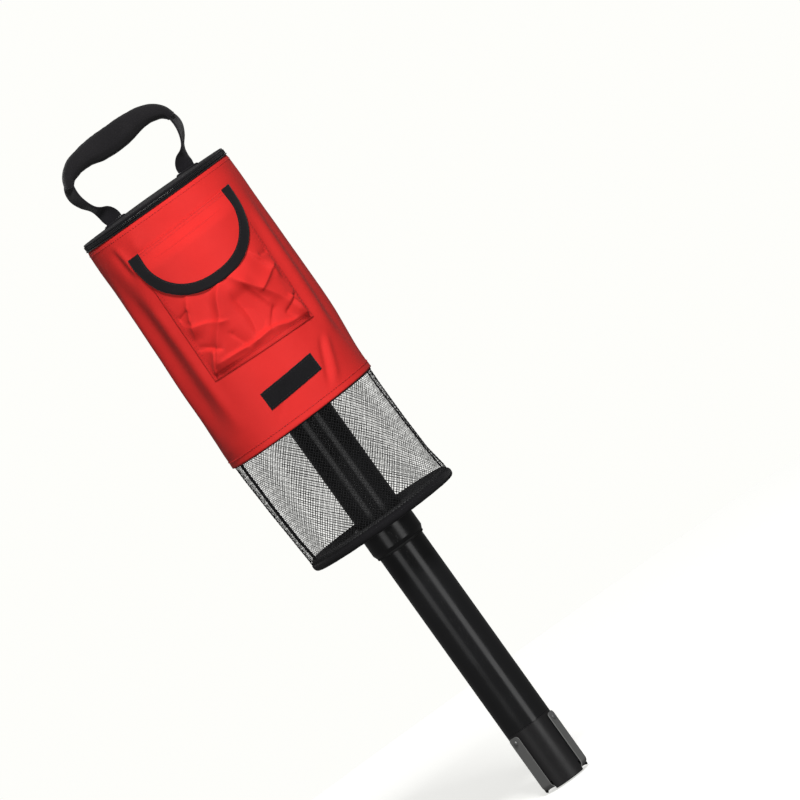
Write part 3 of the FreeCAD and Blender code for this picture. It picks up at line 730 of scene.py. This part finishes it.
def build_stays():
    hoop_z = low("top_hoop").z
    for side, name in ((-1, "left"), (1, "right")):
        z = np.linspace(PLATE_TOP - TUCK, hoop_z, 90)
        x = np.linspace(-3.5, 3.5, 7) * MM
        zz, xx = np.meshgrid(z, x, indexing="ij")
        a = side * (math.radians(81) + 0.02 * np.sin(zz * 30)) + xx / 0.078
        r = STAY_R + 0.0003 * np.sin(zz * 55)
        points = np.stack([r * np.sin(a) + lean(zz), -r * np.cos(a), zz], -1)
        stay = grid("stay_webbing_" + name, points, np.stack([xx, zz], -1))
        thicken(stay, 1.2 * MM)
        dress(stay, "stay_tape", "bag", ["side_stay_" + name])


# --- rim, zip and lid ---
def on_rim(azimuth, radius, z):
    azimuth, z = np.broadcast_arrays(np.asarray(azimuth, float), np.asarray(z, float))
    return np.stack([radius * np.sin(azimuth), -radius * np.cos(azimuth), z], -1)


def tooth_row(z_low, z_high, start, stop, shift):
    """Small moulded teeth, a wide head on a narrow neck."""
    pitch = 1.9 * MM
    count = int((stop - start) * TEETH_R[1] / pitch)
    parts = []
    for k in range(count):
        a = start + (k + 0.5 + shift) * pitch / TEETH_R[1]
        verts = []
        neck_top = z_low + 0.55 * (z_high - z_low)
        for z, half, r_out in ((z_low, 0.42, 0.0), (neck_top, 0.42, 0.1), (z_high, 0.62, 0.0)):
            for r in (TEETH_R[0] + 0.1 * MM, TEETH_R[1] - 0.15 * MM + r_out * MM):
                for s in (-half, half):
                    verts.append(on_rim(a + s * MM / TEETH_R[1], r, z))
        faces = [(0, 1, 3, 2), (8, 10, 11, 9)]
        for b in (0, 4):
            faces += [(b, b + 4, b + 5, b + 1), (b + 1, b + 5, b + 7, b + 3), (b + 3, b + 7, b + 6, b + 2),
                      (b + 2, b + 6, b + 4, b)]
        parts.append((verts, faces))
    return parts


def band(name, radius, z_low, z_high, start, stop, thickness, count=240, rows=4):
    a, z = np.meshgrid(np.linspace(start, stop, count), np.linspace(z_low, z_high, rows))
    points = on_rim(a, radius, z)
    obj = grid(name, points, np.stack([a * radius, z], -1))
    return thicken(obj, thickness)


def build_rim():
    around("rim_cord", SHELL_R - 1.0 * MM, RIM_Z + 0.62 * MM, 1.7 * MM, 1.25 * MM, power=2, count=12,
           wave=0.05 * MM, stands_for=["rim_piping"])
    back = math.radians(158)
    zip_end = math.radians(143)
    tape_r = TEETH_R[0] - 0.02 * MM
    lower = band("zip_tape_low", tape_r, RIM_Z - 10 * MM, TEETH_LOW + 1.2 * MM, -back, back, 0.5 * MM)
    dress(lower, "zip_tape", "bag", ["zip_tape_lower"])
    upper = band("zip_tape_high", tape_r, TEETH_HIGH - 1.2 * MM, TEETH_HIGH + 0.3 * MM, -zip_end, zip_end,
                 0.5 * MM)
    dress(upper, "zip_tape", "lid", ["zip_tape_upper"])
    middle = (TEETH_LOW + TEETH_HIGH) / 2
    low_row = tooth_row(TEETH_LOW, middle + 0.15 * MM, -math.radians(154), math.radians(154), 0.0)
    dress(merged("zip_teeth_low", low_row), "zip_teeth", "bag", ["zip_teeth_lower"])
    high_row = []
    for verts, faces in tooth_row(-TEETH_HIGH, -middle + 0.15 * MM, -zip_end, zip_end, 0.5):
        high_row.append(([v * (1, 1, -1) for v in verts], [f[::-1] for f in faces]))
    dress(merged("zip_teeth_high", high_row), "zip_teeth", "lid", ["zip_teeth_upper"])
    heights = np.linspace(RIM_Z + 1.35 * MM, LID_EDGE - 0.5 * MM, 8)
    a, z = np.meshgrid(np.linspace(back, TAU - back, 40), heights)
    hinge = grid("lid_hinge_cloth", on_rim(a, 0.0833, z), np.stack([a * 0.083, z], -1))
    thicken(hinge, 1.0 * MM)
    dress(hinge, "binding", None, ["lid_hinge_tape"])
    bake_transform(hinge)


def lid_height(x, y):
    """The lid's cloth: a low dome with faint ripples that die out at the edge."""
    r2 = (x * x + y * y) / LID_R ** 2
    ripple = rough_field(x, y, 0 * x, 0.035, 6) * 0.35 * MM + rough_field(x, y, 0 * x, 0.012, 7) * 0.1 * MM
    inner = np.clip(3.5 * (1 - r2), 0, 1)
    return LID_TOP - (LID_TOP - LID_EDGE - 0.9 * MM) * r2 ** 1.3 + ripple * inner - 0.35 * MM * inner


def build_lid():
    rows, cols = 44, 160
    t, a = np.meshgrid(np.linspace(0.004, 1, rows), azimuths(cols + 1), indexing="ij")
    uv = np.stack([t * LID_R * np.sin(a), -t * LID_R * np.cos(a)], -1)
    x, y = uv[:, :-1, 0], uv[:, :-1, 1]
    points = np.stack([x, y, lid_height(x, y)], -1)
    lid = grid("lid_cloth", points, uv, closed=True)
    thicken(lid, 1.35 * MM, 1.0)
    dress(lid, "lid_cloth", "lid", ["lid_panel"])
    around("lid_edge_binding", LID_R - 1.0 * MM, LID_EDGE + 0.45 * MM, 2.8 * MM, 2.4 * MM, power=2.1,
           count=14, wave=0.08 * MM, body="lid", stands_for=["lid_binding"])
    a = azimuths(420)
    r = LID_R - 2.4 * MM
    path = np.stack([r * np.sin(a), -r * np.cos(a), lid_height(r * np.sin(a), -r * np.cos(a))], -1)
    up = np.tile(UP, (420, 1))
    dress(merged("lid_stitching", stitch_row(path, up)), "black_thread", "lid")


# --- handle ---
# middle of the strap on the right, x and height over the lid's anchors, then its turn about its own line
STRAP_LINE = (
    (43.5, -0.5, 0), (43.9, 3.5, 3), (46.6, 9.5, 32), (50.8, 15.5, 66), (54.6, 21.5, 78), (59.8, 30.5, 68),
    (62.6, 40.5, 60), (61.2, 50.5, 64), (55.0, 59.0, 82), (44.0, 64.6, 90), (22.0, 66.6, 90),
)
# the padded grip on the right: x, height, size in the arch's plane, size along Y
GRIP_LINE = (
    (61.6, 49.0, 8.6, 18.6), (59.8, 53.2, 10.4, 19.5), (55.9, 58.6, 13.4, 20.6), (49.6, 62.8, 17.0, 21.8),
    (41.0, 65.9, 19.6, 23.0), (29.0, 67.0, 22.4, 23.6), (15.0, 66.0, 26.8, 24.0),
)


def smooth_line(knots, steps):
    """Catmull-Rom through rows of numbers."""
    k = np.asarray(knots, float)
    k = np.vstack([2 * k[0] - k[1], k, 2 * k[-1] - k[-2]])
    out = []
    for i in range(1, len(k) - 2):
        for t in np.linspace(0, 1, steps, endpoint=False):
            out.append(0.5 * (2 * k[i] + (k[i + 1] - k[i - 1]) * t
                              + (2 * k[i - 1] - 5 * k[i] + 4 * k[i + 1] - k[i + 2]) * t ** 2
                              + (3 * k[i] - k[i - 1] - 3 * k[i + 1] + k[i + 2]) * t ** 3))
    out.append(k[-2])
    return np.array(out)


def mirrored(knots, middle):
    """Knots from the left end over the middle to the right end."""
    left = [(-k[0],) + tuple(k[1:]) for k in knots]
    return left + [middle] + list(knots[::-1])


def build_strap():
    line = smooth_line(mirrored(STRAP_LINE, (0, 65.4, 90)), 9)
    centre = np.stack([line[:, 0] * MM, 0 * line[:, 0], ANCHOR_TOP + line[:, 1] * MM], -1)
    run = headings(centre)
    y_axis = np.tile([0.0, -1.0, 0.0], (len(line), 1))
    plane = np.cross(run, y_axis)
    turn = np.radians(line[:, 2])[:, None]
    side = plane * np.cos(turn) + y_axis * np.sin(turn)
    normal = np.cross(side, run)
    loops = []
    for i in range(len(line)):
        edge = min(i, len(line) - 1 - i) / 20
        loops.append(section_loop((18.0 + 0.8 * min(1, edge)) * MM, 2.3 * MM, 4.5, 28))
    strap = sweep("strap_webbing", centre, side, normal, loops)
    dress(strap, "webbing", None, ["handle_webbing"])
    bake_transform(strap)


def build_anchors():
    for side, name in ((-1, "left"), (1, "right")):
        x0 = side * ANCHOR_X
        xs, ys = np.meshgrid(np.linspace(-12, 12, 25) * MM, np.linspace(-6.5, 6.5, 14) * MM, indexing="ij")
        edge = np.minimum(1, np.minimum(12 * MM - abs(xs), 6.5 * MM - abs(ys)) / (1.2 * MM))
        top = lid_height(xs + x0, ys) + (0.7 + 0.8 * np.sqrt(np.clip(edge, 0, 1))) * MM
        top = np.minimum(top, ANCHOR_TOP)
        pad = grid("anchor_pad_" + name, np.stack([xs + x0, ys, top], -1), np.stack([xs, ys], -1))
        thicken(pad, 1.6 * MM, 1.0)
        dress(pad, "webbing", "lid", ["handle_anchor_" + name])
        a, b, c, d = (-10.5, -5), (10.5, -5), (10.5, 5), (-10.5, 5)
        lines = [(a, b), (b, c), (c, d), (d, a), (a, c), (d, b)]        # a box with a cross in it
        parts = []
        for (xa, ya), (xb, yb) in lines:
            px = np.linspace(xa, xb, 12) * MM
            py = np.linspace(ya, yb, 12) * MM
            pz = np.minimum(lid_height(px + x0, py) + 1.5 * MM, ANCHOR_TOP) - 0.05 * MM
            up = np.tile(UP, (12, 1))
            parts += stitch_row(np.stack([px + x0, py, pz], -1), up, 1.9 * MM, 2.5 * MM, height=0.35 * MM)
        dress(merged("anchor_stitching_" + name, parts), "black_thread", "lid")


def build_grip():
    line = smooth_line(mirrored(GRIP_LINE, (0, 65.3, 28.0, 24.0)), 12)
    centre = np.stack([line[:, 0] * MM, 0 * line[:, 0], ANCHOR_TOP + line[:, 1] * MM], -1)
    run = headings(centre)
    y_axis = np.tile([0.0, -1.0, 0.0], (len(line), 1))
    plane = np.cross(run, y_axis)
    loops = []
    for i, (x, _, a, b) in enumerate(line):
        loop = np.array(section_loop(1.0, 1.0, 2.25, 40))
        angle = np.arctan2(loop[:, 1], loop[:, 0])
        round_y, round_z = np.cos(angle) * 0.012, np.sin(angle) * 0.012
        fold = rough_field(np.full(40, x * MM), round_y, round_z, 0.011, 9) * 0.035
        fold += rough_field(np.full(40, x * MM * 2.2), round_y, round_z, 0.008, 10) * 0.02
        seam = -0.045 * np.exp(-((angle - 0.9) / 0.12) ** 2)
        end = min(i, len(line) - 1 - i)
        close = (0.72, 0.9, 0.98)[end] if end < 3 else 1.0
        scale = (1 + fold + seam) * close
        loops.append(np.stack([loop[:, 0] * a * MM * scale, loop[:, 1] * b * MM * scale * 0.97], -1))
    grip = sweep("grip_pad", centre, plane, y_axis, np.array(loops))
    dress(grip, "grip_cloth", "handle", ["handle_grip"])
    parts = []
    for index in (4, len(line) - 5):
        a, b = line[index][2:]
        turn = np.linspace(0, TAU, 50)[:, None]
        radial = plane[index] * np.cos(turn) * a + y_axis[index] * np.sin(turn) * b
        path = centre[index] + radial * 0.5 * MM
        parts += stitch_row(path, radial / np.linalg.norm(radial, axis=1)[:, None], 2.0 * MM, 2.8 * MM)
    dress(merged("grip_stitching", parts), "black_thread", "handle")


# --- pocket, flap and patch ---
POCKET_STAND = POCKET_FRONT - SHELL_R       # how far the pocket's front stands off the shell


def ridge(s, z, start, end, width, height):
    """A fold along a line, steep on one side and fading at both ends."""
    s0, z0, s1, z1 = (v * MM for v in (*start, *end))
    length = math.hypot(s1 - s0, z1 - z0)
    t = ((s - s0) * (s1 - s0) + (z - z0) * (z1 - z0)) / length ** 2
    d = ((s - s0) * (z1 - z0) - (z - z0) * (s1 - s0)) / length
    fade = soft_step(t / 0.25 + 0.35) * soft_step((1 - t) / 0.25 + 0.35)
    w = width * MM * (0.75 + 0.5 * np.clip(t, 0, 1)) * np.where(d > 0, 0.4, 1.2)
    return height * MM * fade * np.exp(-(np.abs(d) / w) ** 1.35)


# folds of the pocket: (s, height over its foot) ends, width and height, in millimetres
POCKET_FOLDS = (
    ((-2, 80), (-53, 4), 12.0, 6.0), ((8, 80), (56, 3), 12.0, 5.6), ((-34, 92), (-52, 46), 7.0, 2.2),
    ((36, 96), (52, 50), 6.5, 2.4), ((-59, 34), (-34, 22), 4.0, -1.8), ((59, 30), (36, 18), 4.0, -1.8),
    ((44, 10), (-44, 12), 5.0, 2.4), ((-56, 4), (-44, 26), 3.5, 2.2), ((57, 4), (46, 30), 3.5, 2.2),
    ((-16, 46), (-55, 58), 5.0, 1.6), ((24, 50), (57, 64), 5.0, 1.8), ((2, 66), (4, 14), 12.0, -3.0),
    ((-22, 34), (-10, 9), 4.0, -1.2), ((28, 30), (14, 10), 4.0, -1.2), ((-42, 74), (-59, 68), 4.0, -1.2),
    ((44, 78), (59, 74), 4.0, -1.4), ((-48, 60), (-38, 84), 4.0, 1.2), ((14, 72), (26, 30), 5.0, 1.6),
)


def pocket_stand(s, z):
    """Height of the pocket's front over the shell."""
    height = z - POCKET_LOW
    across = np.clip(1 - (s / POCKET_HALF_S) ** 2, 0, 1) ** 0.8
    rise = soft_step(height / (26 * MM)) * 0.4 + 0.6 * soft_step((height - 20 * MM) / (90 * MM))
    stand = 1.0 * MM + (POCKET_STAND - 1.4 * MM) * across * rise
    warp_s = s + rough_field(s, z, 0 * s, 0.03, 11) * 4 * MM
    warp_z = height + rough_field(s, z, 0 * s, 0.03, 12) * 4 * MM
    folds = sum(ridge(warp_s, warp_z, *fold) for fold in POCKET_FOLDS)
    folds = folds + rough_field(s * 1.4, z, 0 * s, 0.018, 13) * 0.4 * MM
    side = np.clip((POCKET_HALF_S - np.abs(s)) / (7 * MM), 0, 1)
    foot = np.clip(height / (7 * MM), 0, 1)
    from_side = POCKET_HALF_S - np.abs(s)
    pucker = np.sin(height / (4.2 * MM)) * 0.25 * MM * np.exp(-((from_side - 4 * MM) / (4 * MM)) ** 2)
    pucker = pucker + np.sin(s / (4.6 * MM)) * 0.25 * MM * np.exp(-((height - 4 * MM) / (4 * MM)) ** 2)
    under_flap = soft_step((z - (FLAP_LOW - 4 * MM)) / (18 * MM))
    stand = stand + (folds * 1.25 * (1 - 0.9 * under_flap) + pucker) * side * foot
    top = 1.0 * MM + (POCKET_STAND - 1.0 * MM) * across + 8.5 * MM * (1 - under_flap) * side * foot
    return np.clip(stand, 0.75 * MM, top)


def tilt_height(s, z):
    """Sewn on a little out of true: on the right, the flap is higher and the pocket's foot is lower."""
    up = np.clip((z - POCKET_LOW) / (POCKET_HIGH - POCKET_LOW), 0, 1)
    return z + s * (FLAP_TILT * up - 0.035 * (1 - up))


def on_pocket(s, z, out=0.0):
    azimuth = s / SHELL_R
    return on_shell(azimuth, tilt_height(s, z), pocket_stand(s, z) + out)


def build_pocket():
    cols, rows = 170, 180
    along = np.linspace(-POCKET_HALF_S, POCKET_HALF_S, cols)
    s, z = np.meshgrid(along, np.linspace(POCKET_LOW, POCKET_HIGH, rows))
    pocket = grid("pocket_cloth", on_pocket(s, z), np.stack([s, z], -1))
    thicken(pocket, 0.7 * MM)
    dress(pocket, "red_nylon", "bag", ["pocket"])
    # the outline, not the cut: the folds have about 13% more cloth than this
    parts = []
    for inset in (1.6 * MM, 5.0 * MM):
        h = POCKET_HALF_S - inset
        side_z = np.linspace(POCKET_HIGH - 2 * MM, POCKET_LOW + inset, 70)
        foot_s = np.linspace(-h, h, 70)
        s = np.concatenate([np.full(70, -h), foot_s[1:], np.full(69, h)])
        z = np.concatenate([side_z, np.full(69, POCKET_LOW + inset), side_z[::-1][1:]])
        parts += stitch_row(on_pocket(s, z), shell_normal(s / SHELL_R), height=0.4 * MM)
    dress(merged("pocket_stitching", parts), "red_thread", "bag")
    z_low, z_high = low("pocket_loop_tape").z, high("pocket_loop_tape").z
    s, z = np.meshgrid(np.linspace(-TAPE_HALF, TAPE_HALF, 40) * MM, np.linspace(z_low, z_high, 20))
    loop = grid("pocket_loop_cloth", on_pocket(s, z, 0.55 * MM), np.stack([s, z], -1))
    thicken(loop, 0.6 * MM)
    dress(loop, "pile", "bag", ["pocket_loop_tape"])


def flap_stand(s, z):
    """The flap leans out from its seam and lies over the pocket's front."""
    across = np.clip(1 - (s / FLAP_HALF_S) ** 2, 0, 1) ** 0.75
    over = 1.9 * MM + (POCKET_STAND + 0.3 * MM) * across
    down = soft_step((FLAP_HIGH - z) / (24 * MM))
    wave = rough_field(s, z, 0 * s, 0.05, 21) * 0.5 * MM + rough_field(s, z, 0 * s, 0.02, 22) * 0.12 * MM
    edge = soft_step((FLAP_HIGH - 35 * MM - z) / (34 * MM))
    return 1.2 * MM + (over - 1.2 * MM) * down + wave * down - 0.9 * MM * edge * across


def on_flap(s, z, out=0.0):
    return on_shell(s / SHELL_R, tilt_height(s, z), flap_stand(s, z) + out)


def flap_edge(angle, inset=0.0):
    """The U of the flap's edge, from the left end of the seam to the right."""
    drop = FLAP_HIGH - FLAP_LOW
    sin, cos = np.sin(angle), np.cos(angle)
    x = FLAP_HALF_X * np.sign(sin) * np.abs(sin) ** 0.9
    z = FLAP_HIGH - drop * np.abs(cos) ** 0.9
    normal_x, normal_z = drop * sin, -FLAP_HALF_X * cos
    length = np.hypot(normal_x, normal_z)
    x, z = x - inset * normal_x / length, z - inset * normal_z / length
    return SHELL_R * np.arcsin(x / (SHELL_R + 4 * MM)), z


def build_flap():
    angle, t = np.meshgrid(np.linspace(-math.pi / 2, math.pi / 2, 150), np.linspace(0.01, 1, 70))
    edge_s, edge_z = flap_edge(angle, 1.0 * MM)
    s = edge_s * t
    z = FLAP_HIGH - (FLAP_HIGH - edge_z) * t
    flap = grid("flap_cloth", on_flap(s, z), np.stack([s, z], -1))
    thicken(flap, 0.9 * MM, 1.0)
    dress(flap, "red_nylon", None, ["pocket_flap"])
    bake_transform(flap)
    angle, inset = np.meshgrid(np.linspace(-math.pi / 2, math.pi / 2, 170), np.linspace(-0.6, 10.6, 10) * MM)
    s, z = flap_edge(angle, inset)
    z = np.minimum(z, FLAP_HIGH)
    roll = 1 - np.abs(inset / (5 * MM) - 1) ** 6 * 0.8
    u = (angle + math.pi / 2) * FLAP_HALF_S
    trim = grid("flap_edge_binding", on_flap(s, z, 0.35 * MM + 0.65 * MM * roll), np.stack([u, inset], -1))
    thicken(trim, 2.2 * MM)
    dress(trim, "binding", None, ["flap_binding"])
    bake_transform(trim)
    sweep_angle = np.linspace(-math.pi / 2 + 0.02, math.pi / 2 - 0.02, 200)
    s, z = flap_edge(sweep_angle, 9.4 * MM)
    keep = z < FLAP_HIGH - 1 * MM
    s, z = s[keep], z[keep]
    parts = stitch_row(on_flap(s, z, 0.95 * MM), shell_normal(s / SHELL_R), height=0.35 * MM)
    stitches = dress(merged("flap_binding_stitching", parts), "black_thread")
    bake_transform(stitches)
    s = np.linspace(-FLAP_HALF_S + 10 * MM, FLAP_HALF_S - 10 * MM, 120)
    parts = []
    for drop in (1.6 * MM, 4.6 * MM):
        z = np.full_like(s, FLAP_HIGH - drop)
        parts += stitch_row(on_flap(s, z, 0.02 * MM), shell_normal(s / SHELL_R), height=0.35 * MM)
    dress(merged("flap_seam_stitching", parts), "red_thread", "bag")
    z_low, z_high = low("flap_hook_tape").z, high("flap_hook_tape").z
    s, z = np.meshgrid(np.linspace(-TAPE_HALF, TAPE_HALF, 40) * MM, np.linspace(z_low, z_high, 20))
    hook = grid("flap_hook_cloth", on_flap(s, z, -0.95 * MM), np.stack([s, z], -1))
    thicken(hook, 0.5 * MM)
    dress(hook, "pile", "flap", ["flap_hook_tape"])


def build_patch():
    half_w, half_h = PATCH_SIZE[0] / 2, PATCH_SIZE[1] / 2
    x, y = np.meshgrid(np.linspace(-half_w, half_w, 90), np.linspace(-half_h, half_h, 32))
    ragged = rough_field(x, y, 0 * x, 0.006, 31) * 0.25 * MM
    edge = np.clip(np.minimum(half_w - np.abs(x), half_h - np.abs(y)) / (1.6 * MM), 0, 1)
    c, sn = math.cos(PATCH_TILT), math.sin(PATCH_TILT)
    xr, yr = x + ragged * (1 - edge), y + ragged * (1 - edge)
    s, z = PATCH_S + xr * c - yr * sn, PATCH_Z + xr * sn + yr * c
    from_edge = np.minimum(half_w - np.abs(x), half_h - np.abs(y))
    sewn = np.exp(-((from_edge - 2.2 * MM) / (0.7 * MM)) ** 2) * 0.4 * MM
    pile = rough_field(x, y, 0 * x, 0.0012, 32) * 0.16 * MM
    out = (0.5 + 0.95 * np.sqrt(edge)) * MM + pile * edge - sewn
    patch = grid("patch_pile", on_shell(s / SHELL_R, z, out), np.stack([x, y], -1))
    thicken(patch, 1.2 * MM)
    dress(patch, "pile", "bag", ["front_patch"])
    corners = [(-1, -1), (1, -1), (1, 1), (-1, 1), (-1, -1)]
    parts = []
    for (xa, ya), (xb, yb) in zip(corners, corners[1:]):
        x = np.linspace(xa, xb, 40) * (half_w - 2.2 * MM)
        y = np.linspace(ya, yb, 40) * (half_h - 2.2 * MM)
        s, z = PATCH_S + x * c - y * sn, PATCH_Z + x * sn + y * c
        parts += stitch_row(on_shell(s / SHELL_R, z, 1.05 * MM), shell_normal(s / SHELL_R), height=0.3 * MM)
    dress(merged("patch_stitching", parts), "black_thread", "bag")


def dress_cad():
    for node, material, edge in (
        ("lower_tube", "tube", 0.3), ("upper_tube", "tube", 0.3), ("upper_tube_rim", "collar", 0.3),
        ("tip_sleeve", "tip", 0.35), ("clip_rivets", "screw", None), ("spring_clip_left", "steel", 0.12),
        ("spring_clip_right", "steel", 0.12), ("spring_clip_rear", "steel", 0.12), ("collar", "collar", 0.3),
        ("grip_ring", "rubber", 0.3), ("base_plate", "plastic", 0.3), ("plate_screws", "screw", None),
        ("plate_nuts", "screw", 0.15), ("top_hoop", "screw", None), ("zip_slider", "zip_metal", 0.15),
        ("zip_puller", "zip_metal", 0.15),
    ):
        dress_node(node, material, edge * MM if edge else None)


build_shell()
build_shell_stitching()
build_hem_tape()
build_net()
build_base_ring()
build_stays()
build_rim()
build_lid()
build_anchors()
build_strap()
build_grip()
build_pocket()
build_flap()
build_patch()
dress_cad()
